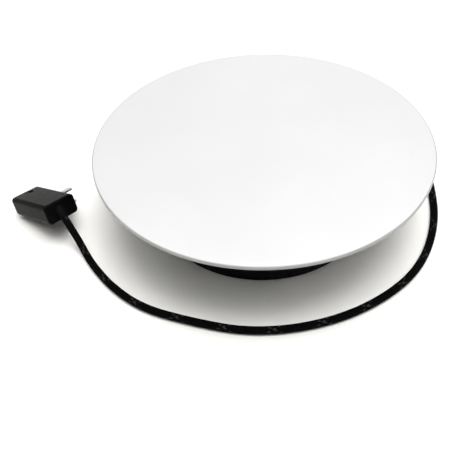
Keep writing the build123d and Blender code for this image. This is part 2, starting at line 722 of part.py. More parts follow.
def board_point(x, y, z):
    """A place over the control board, in the wheel's frame."""
    return tuple(BOARD_PLANE.from_local_coords((x, y, z)))


TERMINAL_TOP = BOARD_TOP + 10.0
supply_wires = wires(
    [
        [
            (x, SHELL_INSIDE - 3.0, CORD_HEIGHT),
            (x, 89.0, CORD_HEIGHT),
            (x + 14.0, 84.0, 32.0),
            board_point(x, 25.5, TERMINAL_TOP + 9),
            board_point(x, 25.5, TERMINAL_TOP - 4),
        ]
        for x in (-3.2, 3.2)
    ]
)
save(supply_wires, "supply_wires")

# ---- power cord -------------------------------------------------------------------------------------------
# The lead leaves the strain relief over its own stored coil, then lies in one wide loop round the wheel.
COIL_INNER = 26.8
COIL_OUTER = 53.2
COIL_CENTRE_Y = 158.0
COIL_TALL = CORD + 0.1

CORD_ENTRY = [(0, 130, 12.6), (0, 138, 12.6), (0, 146, 11.1), (0, 153.5, 7.9), (0, 161.5, 4.0)]
CORD_RUN = [
    (52.5, 200.5, CORD_LIE),
    (80, 184, CORD_LIE),
    (126, 150, CORD_LIE),
    (159, 103, CORD_LIE),
    (172, 50, CORD_LIE),
    (169.5, -1, CORD_LIE),
    (155, -57, CORD_LIE),
    (125, -106, CORD_LIE),
    (80, -137.5, CORD_LIE),
    (29, -154, CORD_LIE),
    (-24, -155.5, CORD_LIE),
    (-70, -141.5, CORD_LIE),
    (-110, -125, CORD_LIE),
    (-137.5, -101, CORD_LIE),
    (-156, -76.5, CORD_LIE),
    (-165, -61.2, CORD_LIE),
    (-171.9, -49.5, 11.1),
    (-177.9, -42, 21.5),
    (-183.2, -34.6, 26.1),
]


def corner_radii(points):
    """The largest arc for each corner: 0.45 of the shorter run over the tangent of half the turn."""
    runs = [Vector(*b) - Vector(*a) for a, b in zip(points, points[1:])]
    return [
        0.45 * min(a.length, b.length) / tan(radians(a.get_angle(b) / 2))
        for a, b in zip(runs, runs[1:])
    ]


with BuildPart() as cord_coil:
    with BuildSketch(Plane.XY):
        with Locations((COIL_INNER, COIL_CENTRE_Y)):
            Circle(COIL_OUTER)
            Circle(COIL_INNER - CORD / 2, mode=Mode.SUBTRACT)
    extrude(amount=COIL_TALL)
    fillet(cord_coil.edges(), radius=CORD * 0.35)
save(cord_coil, "cord_coil")

for label, route in (("cord_entry", CORD_ENTRY), ("cord_run", CORD_RUN)):
    radii = corner_radii(route)
    stretch = tube(route, radii, CORD)
    print(label, "radii", [round(r) for r in radii], "volume", round(stretch.part.volume))
    with BuildPart() as trimmed:
        add(stretch.part)
        add(cord_coil.part, mode=Mode.SUBTRACT)
    save(trimmed, label)

# ---- plug -------------------------------------------------------------------------------------------------
# A flat box that rests on its lower far edge, its cord end held up by the stiff lead. In the plug's own plane
# x runs across it, y along it from the cord end and z up through it.
PLUG_WIDE = 31.7
PLUG_LONG = 63.0
PLUG_TALL = 18.85
PLUG_CORNER = 3.8
PLUG_END_EDGE = 1.7
PLUG_FOOT = (-184.19, -30.67, 21.85)
PLUG_PLANE = Plane(origin=PLUG_FOOT, x_dir=(0.677, 0.722, -0.144), z_dir=(-0.145, 0.323, 0.935))
PLUG_SECTION = Plane(origin=PLUG_FOOT, x_dir=PLUG_PLANE.x_dir, z_dir=PLUG_PLANE.y_dir)
ALONG_PLUG = Axis(PLUG_FOOT, tuple(PLUG_PLANE.y_dir))
BLADE_SPACING = 12.7
BLADE_WIDE = 6.3
BLADE_THICK = 1.5
BLADE_OUT = 10.6
BLADE_IN = 6.0
BLADE_ALONG = 20.3
BLADE_CORNER = 2.4
SCREW_PLACE = (2.6, PLUG_LONG - 7.5)
SCREW_RECESS = 2.9
SCREW_HEAD = 2.4
SCREW_DEEP = 4.0
SCREW_TALL = 2.4
BOOT_OUT = 7.0
BOOT_IN = 5.0
BOOT_TIP_RADIUS = CORD / 2 + 0.5
BOOT_RADIUS = CORD / 2 + 1.2

boot_tip = Vector(*CORD_RUN[-1])
boot_way = (Vector(*CORD_RUN[-2]) - boot_tip).normalized()
boot_plane = Plane(origin=boot_tip, z_dir=-boot_way)

with BuildPart() as plug_boot:
    with BuildSketch(boot_plane):
        Circle(BOOT_TIP_RADIUS)
    with BuildSketch(boot_plane.offset(BOOT_OUT)):
        Circle(BOOT_RADIUS)
    loft()
    with BuildSketch(boot_plane.offset(BOOT_OUT)):
        Circle(BOOT_RADIUS)
    extrude(amount=BOOT_IN)
save(plug_boot, "plug_boot")

blade_root = PLUG_PLANE.from_local_coords((PLUG_WIDE / 2 - BLADE_IN, BLADE_ALONG, PLUG_TALL / 2))

with BuildPart() as plug_blades:
    with BuildSketch(Plane(origin=blade_root, x_dir=PLUG_PLANE.y_dir, z_dir=PLUG_PLANE.x_dir)):
        with Locations((0, -BLADE_SPACING / 2), (0, BLADE_SPACING / 2)):
            Rectangle(BLADE_WIDE, BLADE_THICK)
    extrude(amount=BLADE_IN + BLADE_OUT)
    thickness_edges = plug_blades.edges().filter_by(Axis(PLUG_FOOT, tuple(PLUG_PLANE.z_dir)))
    fillet(thickness_edges.group_by(Axis(PLUG_FOOT, tuple(PLUG_PLANE.x_dir)))[-1], radius=BLADE_CORNER)
save(plug_blades, "plug_blades")

with BuildPart() as plug_body:
    with BuildSketch(PLUG_SECTION):
        with Locations((0, -PLUG_TALL / 2)):
            RectangleRounded(PLUG_WIDE, PLUG_TALL, PLUG_CORNER)
    extrude(amount=PLUG_LONG)
    fillet(plug_body.edges().group_by(ALONG_PLUG)[-1], radius=PLUG_END_EDGE)
    fillet(plug_body.edges().group_by(ALONG_PLUG)[0], radius=PLUG_END_EDGE)
    with BuildSketch(PLUG_PLANE.offset(PLUG_TALL)):
        with Locations(SCREW_PLACE):
            Circle(SCREW_RECESS)
    extrude(amount=-SCREW_DEEP, mode=Mode.SUBTRACT)
    add(plug_boot.part, mode=Mode.SUBTRACT)
    add(plug_blades.part, mode=Mode.SUBTRACT)
save(plug_body, "plug_body")

with BuildPart() as plug_screw:
    with BuildSketch(PLUG_PLANE.offset(PLUG_TALL - SCREW_DEEP)):
        with Locations(SCREW_PLACE):
            Circle(SCREW_HEAD)
    extrude(amount=SCREW_TALL)
    with BuildSketch(PLUG_PLANE.offset(PLUG_TALL - SCREW_DEEP + SCREW_TALL)):
        with Locations(SCREW_PLACE):
            Rectangle(3.4, 0.7, rotation=20)
            Rectangle(0.7, 3.4, rotation=20)
    extrude(amount=-1.2, mode=Mode.SUBTRACT)
save(plug_screw, "plug_screw")
print("plug lowest point", round(plug_body.part.bounding_box().min.Z, 2))
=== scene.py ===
"""Looks of the compact pottery wheel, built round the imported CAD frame.

The scene is in metres with +Z up and its origin under the wheel's axis. Most sizes are in mm, and MM turns
them into metres.
"""

import json
from math import atan2, ceil, cos, pi, radians, sin

import bmesh
import bpy
import numpy as np
from mathutils import Matrix, Vector

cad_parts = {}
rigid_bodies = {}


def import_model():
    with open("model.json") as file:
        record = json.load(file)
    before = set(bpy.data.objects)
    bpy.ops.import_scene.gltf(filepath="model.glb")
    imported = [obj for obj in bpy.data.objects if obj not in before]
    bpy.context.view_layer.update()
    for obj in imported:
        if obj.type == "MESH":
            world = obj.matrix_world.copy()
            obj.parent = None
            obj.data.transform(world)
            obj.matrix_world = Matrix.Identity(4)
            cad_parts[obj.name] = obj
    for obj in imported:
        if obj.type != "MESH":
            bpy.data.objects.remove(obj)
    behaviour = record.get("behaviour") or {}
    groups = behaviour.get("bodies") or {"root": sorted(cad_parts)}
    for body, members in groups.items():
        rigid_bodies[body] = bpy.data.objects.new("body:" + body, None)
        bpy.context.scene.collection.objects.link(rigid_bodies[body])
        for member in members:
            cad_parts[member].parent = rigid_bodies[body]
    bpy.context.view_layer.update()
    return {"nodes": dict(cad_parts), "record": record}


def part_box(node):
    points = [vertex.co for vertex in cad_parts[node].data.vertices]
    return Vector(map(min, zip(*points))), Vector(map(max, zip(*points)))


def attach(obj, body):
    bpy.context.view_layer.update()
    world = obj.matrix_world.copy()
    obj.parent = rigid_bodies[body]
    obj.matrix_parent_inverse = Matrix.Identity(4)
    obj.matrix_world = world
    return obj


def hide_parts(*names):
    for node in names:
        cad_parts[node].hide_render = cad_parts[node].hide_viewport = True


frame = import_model()

MM = 0.001
nodes = frame["nodes"]


# ---- camera -----------------------------------------------------------------------------------------------
CAMERA_PLACE = (-0.0374, -0.3768, 0.3553)
CAMERA_PITCH = radians(45.98)
CAMERA_ROLL = radians(4.24)
SENSOR = 36.0
LENS = 41.56
CLIP_START = 0.01


def make_camera():
    """A camera that looks along +Y and down, turned a little about its own line of sight."""
    data = bpy.data.cameras.new("camera")
    data.sensor_width = SENSOR
    data.lens = LENS
    data.clip_start = CLIP_START
    camera = bpy.data.objects.new("camera", data)
    bpy.context.scene.collection.objects.link(camera)
    tilt = Matrix.Rotation(pi / 2 - CAMERA_PITCH, 4, "X")
    roll = Matrix.Rotation(-CAMERA_ROLL, 4, "Z")
    camera.matrix_world = Matrix.Translation(CAMERA_PLACE) @ tilt @ roll
    bpy.context.scene.camera = camera


make_camera()


# ---- meshes -----------------------------------------------------------------------------------------------
def add_mesh(name, points, faces, smooth=True):
    """A new mesh object from points in metres and faces."""
    mesh = bpy.data.meshes.new(name)
    mesh.from_pydata([tuple(p) for p in points], [], faces)
    mesh.polygons.foreach_set("use_smooth", [smooth] * len(mesh.polygons))
    mesh.update()
    piece = bpy.data.objects.new(name, mesh)
    bpy.context.scene.collection.objects.link(piece)
    return piece


def grid_faces(rows, columns):
    """Quads over rows of points, where each row closes on itself."""
    at = np.arange(rows * columns).reshape(rows, columns)
    after = np.roll(at, -1, axis=1)
    quads = np.stack([at[:-1], after[:-1], after[1:], at[1:]], axis=-1)
    return quads.reshape(-1, 4).tolist()


def lathe(name, outline, segments=256, place=None):
    """A solid of revolution about +Z from (radius, height) points in mm; its ends lie on the axis."""
    angles = np.arange(segments) * 2 * pi / segments
    rings = outline[1:-1]
    points = [(r * cos(a) * MM, r * sin(a) * MM, z * MM) for r, z in rings for a in angles]
    faces = grid_faces(len(rings), segments)
    for end, row in ((outline[0], 0), (outline[-1], len(rings) - 1)):
        tip = len(points)
        points.append((0, 0, end[1] * MM))
        loop = [row * segments + k for k in range(segments)]
        for a, b in zip(loop, loop[1:] + loop[:1]):
            faces.append((tip, b, a) if row == 0 else (tip, a, b))
    piece = add_mesh(name, points, faces)
    if place is not None:
        piece.data.transform(place)
    return piece


def arc(centre, radius, start, end, steps=6):
    """Points of a round corner in a lathe's outline, angles in degrees."""
    turn = [radians(start + (end - start) * k / steps) for k in range(steps + 1)]
    return [(centre[0] + radius * cos(a), centre[1] + radius * sin(a)) for a in turn]


# ---- the lead ---------------------------------------------------------------------------------------------
CORD = 6.7
CORD_LIE = 3.4
COIL_INNER = 26.8
COIL_CENTRE = (26.8, 158.0)
COIL_PITCH = 6.9
COIL_STEPS = 12
COIL_LEAVES = 59.0
COIL_TURNS = 3 + (180 - COIL_LEAVES) / 360

CORD_ENTRY = [(0, 130, 12.6), (0, 138, 12.6), (0, 146, 11.1), (0, 153.5, 7.9), (0, 161.5, 4.0)]
CORD_RUN = [
    (80, 184, CORD_LIE),
    (126, 150, CORD_LIE),
    (159, 103, CORD_LIE),
    (172, 50, CORD_LIE),
    (169.5, -1, CORD_LIE),
    (155, -57, CORD_LIE),
    (125, -106, CORD_LIE),
    (80, -137.5, CORD_LIE),
    (29, -154, CORD_LIE),
    (-24, -155.5, CORD_LIE),
    (-70, -141.5, CORD_LIE),
    (-110, -125, CORD_LIE),
    (-137.5, -101, CORD_LIE),
    (-156, -76.5, CORD_LIE),
    (-165, -61.2, CORD_LIE),
    (-171.9, -49.5, 11.1),
    (-177.9, -42, 21.5),
    (-183.2, -34.6, 26.1),
]
BRAID_YARNS = 18
BRAID_LEAD = 39.3
BRAID_RELIEF = 0.34
YARN_CROWN = 0.85
YARN_FLOAT = 0.55
ROUND_STEPS = 2 * BRAID_YARNS
ALONG_STEP = BRAID_LEAD / BRAID_YARNS / 4


def coil_points():
    """The stored turns, a flat spiral that widens by one diameter each turn."""
    points = []
    for k in range(1, int(COIL_TURNS * COIL_STEPS) + 1):
        turns = k / COIL_STEPS
        radius = (COIL_INNER + COIL_PITCH * turns) / cos(pi / COIL_STEPS)
        angle = radians(180 - 360 * turns)
        points.append(
            (COIL_CENTRE[0] + radius * cos(angle), COIL_CENTRE[1] + radius * sin(angle), CORD_LIE)
        )
    return points


def route_line():
    """Points along the lead's centre line in mm, read from its NURBS spline and evenly spaced."""
    curve = bpy.data.curves.new("lead_route", "CURVE")
    curve.dimensions = "3D"
    spline = curve.splines.new("NURBS")
    route = CORD_ENTRY + coil_points() + CORD_RUN
    spline.points.add(len(route) - 1)
    for point, place in zip(spline.points, route):
        point.co = (*[c * MM for c in place], 1.0)
    spline.order_u = 3
    spline.use_endpoint_u = True
    curve.resolution_u = 32
    holder = bpy.data.objects.new("lead_route", curve)
    bpy.context.scene.collection.objects.link(holder)
    graph = bpy.context.evaluated_depsgraph_get()
    read = bpy.data.meshes.new_from_object(holder.evaluated_get(graph))
    line = np.array([v.co for v in read.vertices]) / MM
    bpy.data.objects.remove(holder)
    bpy.data.meshes.remove(read)
    far = np.concatenate([[0], np.cumsum(np.linalg.norm(np.diff(line, axis=0), axis=1))])
    keep = np.concatenate([[True], np.diff(far) > 1e-6])
    along = np.linspace(0, far[-1], ceil(far[-1] / ALONG_STEP) + 1)
    even = [np.interp(along, far[keep], line[keep, axis]) for axis in range(3)]
    return np.stack(even, axis=1), along


def braid_height(around, along):
    """Height from 0 to 1 of a braid of yarns over two and under two; around is in turns, along in mm."""
    a = BRAID_YARNS * (around + along / BRAID_LEAD)
    b = BRAID_YARNS * (around - along / BRAID_LEAD)
    first_over = np.mod(np.floor(a) + np.floor(b), 4) < 2
    across = np.where(first_over, a - np.floor(a), b - np.floor(b)) * 2 - 1
    reach = np.where(
        first_over, np.mod(np.floor(a) + b, 4) / 2, (np.mod(a + np.floor(b), 4) - 2) / 2
    )
    crown = np.sqrt(np.clip(1 - YARN_CROWN * across**2, 0, 1))
    return crown * (1 - YARN_FLOAT + YARN_FLOAT * np.sin(pi * reach))


def swept_frames(line):
    """Two directions across the line at each of its points, carried along it without twist."""
    way = np.gradient(line, axis=0)
    way /= np.linalg.norm(way, axis=1)[:, None]
    side = np.zeros_like(line)
    side[0] = (1, 0, 0)
    for k in range(1, len(line)):
        carried = side[k - 1] - way[k] * side[k - 1].dot(way[k])
        side[k] = carried / np.linalg.norm(carried)
    return side, np.cross(way, side)


def make_lead():
    """The braided lead as a closed tube with the braid's relief, and its braid coordinates as a UV map."""
    line, along = route_line()
    side, rise = swept_frames(line)
    around = np.arange(ROUND_STEPS) / ROUND_STEPS
    height = braid_height(around[None, :], along[:, None])
    radius = (CORD / 2 - BRAID_RELIEF * (1 - height)) * MM
    turn = 2 * pi * around
    points = line[:, None] * MM + radius[..., None] * (
        np.cos(turn)[None, :, None] * side[:, None] + np.sin(turn)[None, :, None] * rise[:, None]
    )
    rows = len(line)
    faces = grid_faces(rows, ROUND_STEPS)
    faces.append(list(range(ROUND_STEPS))[::-1])
    faces.append([(rows - 1) * ROUND_STEPS + k for k in range(ROUND_STEPS)])
    piece = add_mesh("lead", points.reshape(-1, 3).tolist(), faces)
    low = np.repeat(np.arange(ROUND_STEPS)[None], rows - 1, axis=0).reshape(-1)
    row = np.repeat(np.arange(rows - 1), ROUND_STEPS)
    u = np.stack([along[row], along[row], along[row + 1], along[row + 1]], axis=1) * MM
    v = np.stack([low, low + 1, low + 1, low], axis=1) / ROUND_STEPS
    uv = np.zeros((len(piece.data.loops), 2))
    uv[: 4 * len(row)] = np.stack([u, v], axis=-1).reshape(-1, 2)
    layer = piece.data.uv_layers.new(name="braid")
    layer.data.foreach_set("uv", uv.reshape(-1))
    return piece, line * MM, along[-1] * MM


lead, lead_line, lead_length = make_lead()


# ---- shader building --------------------------------------------------------------------------------------
class Shader:
    """A material with one Principled shader, and short calls for the nodes that feed it.

    Constants are the shader's own sockets, with _ for a space.
    """

    def __init__(self, name, **constants):
        self.material = bpy.data.materials.new(name)
        self.material.use_nodes = True
        self.tree = self.material.node_tree
        self.bsdf = self.tree.nodes["Principled BSDF"]
        for socket, value in constants.items():
            self.bsdf.inputs[socket.replace("_", " ")].default_value = value
        self.coords = self.tree.nodes.new("ShaderNodeTexCoord")

    def node(self, kind, links=(), **settings):
        """A new node with its settings, and each input linked to a socket or set to a value."""
        made = self.tree.nodes.new("ShaderNode" + kind)
        for key, value in settings.items():
            setattr(made, key, value)
        for socket, value in dict(links).items():
            if isinstance(value, bpy.types.NodeSocket):
                self.tree.links.new(value, made.inputs[socket])
            else:
                made.inputs[socket].default_value = value
        return made

    def math(self, operation, a, b=0.0):
        return self.node("Math", {0: a, 1: b}, operation=operation).outputs[0]

    def objects(self):
        return self.coords.outputs["Object"]

    def axes(self):
        """Sockets for x, y and z over the piece, in metres."""
        return self.node("SeparateXYZ", {0: self.objects()}).outputs

    def axis_radius(self):
        """Distance from the wheel's axis in metres."""
        x, y, _ = self.axes()
        squares = [self.math("MULTIPLY", along, along) for along in (x, y)]
        return self.math("SQRT", self.math("ADD", *squares))

    def noise(self, scale, detail=3.0, roughness=0.5, stretch=None):
        """Noise over the piece, scale in cycles per metre; stretch scales x, y and z apart."""
        where = self.objects()
        if stretch:
            where = self.node("Mapping", {"Vector": where, "Scale": stretch}).outputs[0]
        links = {"Vector": where, "Scale": scale, "Detail": detail, "Roughness": roughness}
        return self.node("TexNoise", links).outputs["Fac"]

    def spread(self, value, low, high, start=0.3, end=0.7):
        """Value from start to end spread over low to high, and held there outside."""
        links = {"Value": value, "From Min": start, "From Max": end, "To Min": low, "To Max": high}
        return self.node("MapRange", links).outputs[0]

    def mix(self, share, first, second):
        """Colour between first and second, each a socket or an (r, g, b)."""
        made = self.node("Mix", {0: share}, data_type="RGBA")
        for socket, value in ((made.inputs[6], first), (made.inputs[7], second)):
            if isinstance(value, bpy.types.NodeSocket):
                self.tree.links.new(value, socket)
            else:
                socket.default_value = (*value, 1.0)
        return made.outputs[2]

    def feed(self, socket, value):
        self.tree.links.new(value, self.bsdf.inputs[socket])

    def bump(self, height, distance, strength=1.0):
        """Relief in metres; a second call goes on top of the first."""
        links = {"Height": height, "Distance": distance, "Strength": strength}
        if self.bsdf.inputs["Normal"].is_linked:
            links["Normal"] = self.bsdf.inputs["Normal"].links[0].from_socket
        self.feed("Normal", self.node("Bump", links).outputs[0])


def paint(target, material):
    """Give every slot of an object one material."""
    if not target.data.materials:
        target.data.materials.append(material)
    for k in range(len(target.data.materials)):
        target.data.materials[k] = material


# ---- materials --------------------------------------------------------------------------------------------
GLOSS_SPREAD = 0.06


def grey(value):
    return (value, value, value)


def moulded(name, low, high, roughness, grain=1400, relief=0.00006, **constants):
    """Moulded plastic, rubber or paint: a fine grain, cloudy tone and uneven gloss."""
    made = Shader(name, **constants)
    cloud = made.noise(45, 4)
    fine = made.noise(grain, 2, 0.6)
    gloss = made.noise(160, 3)
    made.feed("Base Color", made.mix(made.spread(cloud, 0, 1), low, high))
    made.feed("Roughness", made.spread(gloss, roughness - GLOSS_SPREAD, roughness + GLOSS_SPREAD))
    made.bump(fine, relief)
    return made


# Painted shade on the wheel head's rim: the band's width and fade in mm, and its grey.
RIM_SHADE_BAND = 0.9
RIM_SHADE_FADE = 0.3
RIM_SHADE_TONE = (0.335, 0.335, 0.332)
SPECK_SHARE = 0.25


def head_coating():
    """White satin coating: a low orange peel, faint clouds and fine specks. The disc's rim and rounded upper
    edge carry a darker grey band of painted shade.
    """
    made = Shader("head_coating", Coat_Weight=0.12, Coat_Roughness=0.28)
    cloud = made.spread(made.noise(9, 3), 0, 1)
    specks = made.spread(made.noise(900, 2, 0.7), 0, 1, 0.68, 0.8)
    tone = made.mix(cloud, (0.550, 0.553, 0.550), (0.579, 0.582, 0.579))
    coating = made.mix(made.math("MULTIPLY", specks, SPECK_SHARE), tone, grey(0.50))
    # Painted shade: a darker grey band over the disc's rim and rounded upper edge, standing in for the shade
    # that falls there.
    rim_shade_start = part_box("wheel_head")[1][0] - RIM_SHADE_BAND * MM
    edge = made.spread(made.axis_radius(), 0, 1, rim_shade_start - RIM_SHADE_FADE * MM, rim_shade_start)
    made.feed("Base Color", made.mix(edge, coating, RIM_SHADE_TONE))
    made.feed("Roughness", made.spread(made.noise(30, 4), 0.36, 0.44))
    made.bump(made.noise(420, 2, 0.5), 0.00003)
    return made


def turned(name, low, high, roughness, groove=9000, **constants):
    """Metal turned about the wheel's axis: fine rings in the gloss, tone and relief."""
    made = Shader(name, Metallic=1.0, **constants)
    rings = made.node("CombineXYZ", {0: made.axis_radius(), 1: made.axes()[2]}).outputs[0]
    links = {"Vector": rings, "Scale": groove, "Detail": 2.0}
    lines = made.node("TexNoise", links, noise_dimensions="3D").outputs["Fac"]
    made.feed("Base Color", made.mix(made.spread(made.noise(60, 4), 0, 1), low, high))
    made.feed("Roughness", made.spread(lines, roughness - 0.1, roughness + 0.12))
    made.bump(lines, 0.000012)
    return made


SHEETS_PER_METRE = 2000.0
WIRES_PER_METRE = 1400.0


def laminated():
    """A stack of thin varnished sheets: level lines with uneven tone."""
    made = Shader("lamination", Metallic=0.85)
    layer = made.math("FRACT", made.math("MULTIPLY", made.axes()[2], SHEETS_PER_METRE))
    line = made.spread(layer, 0, 1, 0.0, 0.22)
    made.feed("Base Color", made.mix(line, grey(0.05), (0.24, 0.24, 0.25)))
    made.feed("Roughness", made.spread(made.noise(300, 3), 0.4, 0.6))
    made.bump(line, 0.00008)
    return made


def wound():
    """Enamelled wire laid side by side round each tooth, darker in the gaps between turns as painted shade.
    """
    made = Shader("copper", Metallic=0.9, Coat_Weight=0.4, Coat_Roughness=0.15)
    turns = made.math("MULTIPLY", made.axis_radius(), WIRES_PER_METRE)
    ridge_and_gap_shade = made.math("ABSOLUTE", made.math("SINE", made.math("MULTIPLY", turns, pi)))
    # Painted shade and highlight: the copper is darker in the gaps between turns and brighter on their
    # crests; the same ridge also gives the relief.
    made.feed("Base Color", made.mix(ridge_and_gap_shade, (0.22, 0.07, 0.025), (0.72, 0.30, 0.12)))
    made.feed("Roughness", made.spread(made.noise(700, 2), 0.25, 0.4))
    made.bump(ridge_and_gap_shade, 0.00018)
    return made


def circuit():
    """Green solder mask with tracks and pads under it."""
    made = Shader("board", Coat_Weight=0.5, Coat_Roughness=0.2)
    where = made.node("Mapping", {"Vector": made.objects(), "Rotation": (0, 0, radians(45))})
    links = {"Vector": where.outputs[0], "Scale": 330.0, "Mortar Size": 0.09, "Bias": -0.2}
    tracks = made.node("TexBrick", links)
    tone = made.mix(made.spread(made.noise(200, 3), 0, 1), (0.012, 0.10, 0.04), (0.016, 0.13, 0.05))
    made.feed("Base Color", made.mix(tracks.outputs["Fac"], tone, (0.05, 0.26, 0.11)))
    made.feed("Roughness", made.spread(made.noise(500, 2), 0.3, 0.42))
    made.bump(tracks.outputs["Fac"], 0.00004)
    return made


def plated(name, low, high, roughness):
    """Bright plating with faint clouds and hairline scratches."""
    made = Shader(name, Metallic=1.0)
    scratches = made.noise(500, 2, 0.6, stretch=(1.0, 9.0, 1.0))
    made.feed("Base Color", made.mix(made.spread(made.noise(300, 3), 0, 1), low, high))
    made.feed("Roughness", made.spread(scratches, roughness - 0.06, roughness + 0.12))
    made.bump(scratches, 0.000008)
    return made


TRACERS = (14.0, 10.0)
FIBRES_PER_YARN = 7


def braid():
    """Black textile braid, its yarns over two and under two, with one pale tracer yarn each way. Each yarn
    is painted lighter on its crown and darker in the hollows, as painted light and shade.
    """
    made = Shader("cord_braid", Specular_IOR_Level=0.028)
    split = made.node("SeparateXYZ", {0: made.coords.outputs["UV"]})
    turn = made.math("MULTIPLY", split.outputs[1], float(BRAID_YARNS))
    shift = made.math("MULTIPLY", split.outputs[0], BRAID_YARNS / (BRAID_LEAD * MM))
    a, b = made.math("ADD", turn, shift), made.math("SUBTRACT", turn, shift)
    floor_a, floor_b = made.math("FLOOR", a), made.math("FLOOR", b)
    order = made.math("FLOORED_MODULO", made.math("ADD", floor_a, floor_b), 4.0)
    first_over = made.math("LESS_THAN", order, 1.5)

    def either(first, second):
        links = {0: first_over, 2: second, 3: first}
        return made.node("Mix", links, data_type="FLOAT").outputs[0]

    across = either(made.math("FRACT", a), made.math("FRACT", b))
    reach_a = made.math("FLOORED_MODULO", made.math("ADD", floor_a, b), 4.0)
    reach_b = made.math("SUBTRACT", made.math("FLOORED_MODULO", made.math("ADD", a, floor_b), 4.0), 2.0)
    reach = made.math("MULTIPLY", either(reach_a, reach_b), 0.5)
    crown = made.math("SINE", made.math("MULTIPLY", across, pi))
    rise = made.math("MULTIPLY", made.math("SINE", made.math("MULTIPLY", reach, pi)), YARN_FLOAT)
    height = made.math("MULTIPLY", crown, made.math("ADD", rise, 1 - YARN_FLOAT))
    fibres = made.math("SINE", made.math("MULTIPLY", across, 2 * FIBRES_PER_YARN * pi))
    yarn = made.math("FLOORED_MODULO", either(floor_a, floor_b), float(BRAID_YARNS))
    tracer = made.node("Math", {0: yarn, 1: either(*TRACERS), 2: 0.2}, operation="COMPARE").outputs[0]
    plain = made.mix(made.spread(made.noise(400, 2), 0, 1), grey(0.0008), grey(0.002))
    # Painted light and shade: the colour is lighter where the yarn stands high and darker in the hollows
    # between yarns.
    yarn_painted_light = made.mix(made.math("MULTIPLY", height, 0.8), plain, grey(0.0035))
    pale = made.mix(made.spread(made.noise(2500, 1), 0, 1), grey(0.02), (0.07, 0.069, 0.067))
    made.feed("Base Color", made.mix(tracer, yarn_painted_light, pale))
    made.feed("Roughness", made.spread(made.noise(900, 2), 0.7, 0.9))
    made.bump(height, 0.00022)
    made.bump(fibres, 0.00002)
    return made


materials = {
    "head_coating": head_coating(),
    "shell_black": moulded(
        "shell_black", grey(0.002), grey(0.004), 0.5, grain=1300, relief=0.00006, Specular_IOR_Level=0.08
    ),
    "steel": turned("steel", grey(0.50), (0.60, 0.60, 0.61), 0.30),
    "aluminium": turned("aluminium", (0.70, 0.70, 0.71), (0.80, 0.80, 0.81), 0.34, groove=5000),
    "zinc_plate": moulded("zinc_plate", grey(0.16), (0.20, 0.20, 0.205), 0.45, grain=900, relief=0.00005),
    "magnet": plated("magnet", grey(0.20), (0.28, 0.28, 0.30), 0.32),
    "lamination": laminated(),
    "copper": wound(),
    "cage": plated("cage", (0.62, 0.44, 0.18), (0.75, 0.56, 0.26), 0.28),
    "rubber": moulded(
        "rubber", grey(0.002), grey(0.004), 0.7, grain=2200, relief=0.00004, Specular_IOR_Level=0.03
    ),
    "board": circuit(),
    "dark_plastic": moulded("dark_plastic", grey(0.014), grey(0.022), 0.42, grain=1800, relief=0.00004),
    "gloss_black": moulded("gloss_black", grey(0.008), grey(0.012), 0.16, grain=300, relief=0.00001),
    "light_plastic": moulded("light_plastic", grey(0.45), (0.52, 0.53, 0.54), 0.45),
    "cord_braid": braid(),
    "wire": moulded("wire", (0.03, 0.08, 0.30), (0.05, 0.11, 0.38), 0.4),
    "plug_black": moulded(
        "plug_black", grey(0.002), grey(0.004), 0.2, grain=1500, relief=0.00001, Specular_IOR_Level=0.022
    ),
    "nickel": plated("nickel", grey(0.42), (0.50, 0.50, 0.49), 0.24),
}
slot_of = {part["node"]: part["material_slot"] for part in frame["record"]["subparts"]}
for name, node in nodes.items():
    paint(node, materials[slot_of[name]].material)


# ---- finished pieces --------------------------------------------------------------------------------------
def finish_piece(piece, body, slot, replaced=()):
    """Material, body and the CAD nodes that a piece stands for."""
    paint(piece, materials[slot].material)
    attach(piece, body)
    if replaced:
        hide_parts(*replaced)


finish_piece(lead, "base", "cord_braid", ("cord_entry", "cord_coil", "cord_run"))


HEAD_UPPER_EDGE = 0.9
HEAD_LOWER_EDGE = 0.6
HEAD_SEGMENTS = 360


def make_head():
    """The wheel head, one smooth disc with rounded edges."""
    low, high = (Vector(c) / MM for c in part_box("wheel_head"))
    rim, top, bottom = high.x, high.z, low.z
    upper = arc((rim - HEAD_UPPER_EDGE, top - HEAD_UPPER_EDGE), HEAD_UPPER_EDGE, 90, 0)
    lower = arc((rim - HEAD_LOWER_EDGE, bottom + HEAD_LOWER_EDGE), HEAD_LOWER_EDGE, 0, -90)
    flat = [0.25, 0.5, 0.75, 0.95]
    outline = [(0, top)]
    outline += [(rim * share, top) for share in flat]
    outline += upper + lower
    outline += [(rim * share, bottom) for share in reversed(flat)]
    outline.append((0, bottom))
    return lathe("wheel_disc", outline[::-1], HEAD_SEGMENTS)


finish_piece(make_head(), "wheel", "head_coating", ("wheel_head",))


RELIEF_COLLAR = 7.5
RELIEF_INNER_COLLAR = 2.2
RELIEF_OUTER_COLLAR = 1.6
RELIEF_NECK = 4.95
RELIEF_ROOT = 5.6
RELIEF_TIP = CORD / 2 + 0.8
RELIEF_GROOVES = 7
RELIEF_PLAIN_ROOT = 3.4
RELIEF_PLAIN_TIP = 1.6
RELIEF_SEGMENTS = 96
GROOVE = ((0.0, 0.0), (0.1, 0.08), (0.3, 0.75), (0.5, 0.75), (0.7, 0.08), (0.8, 0.0))


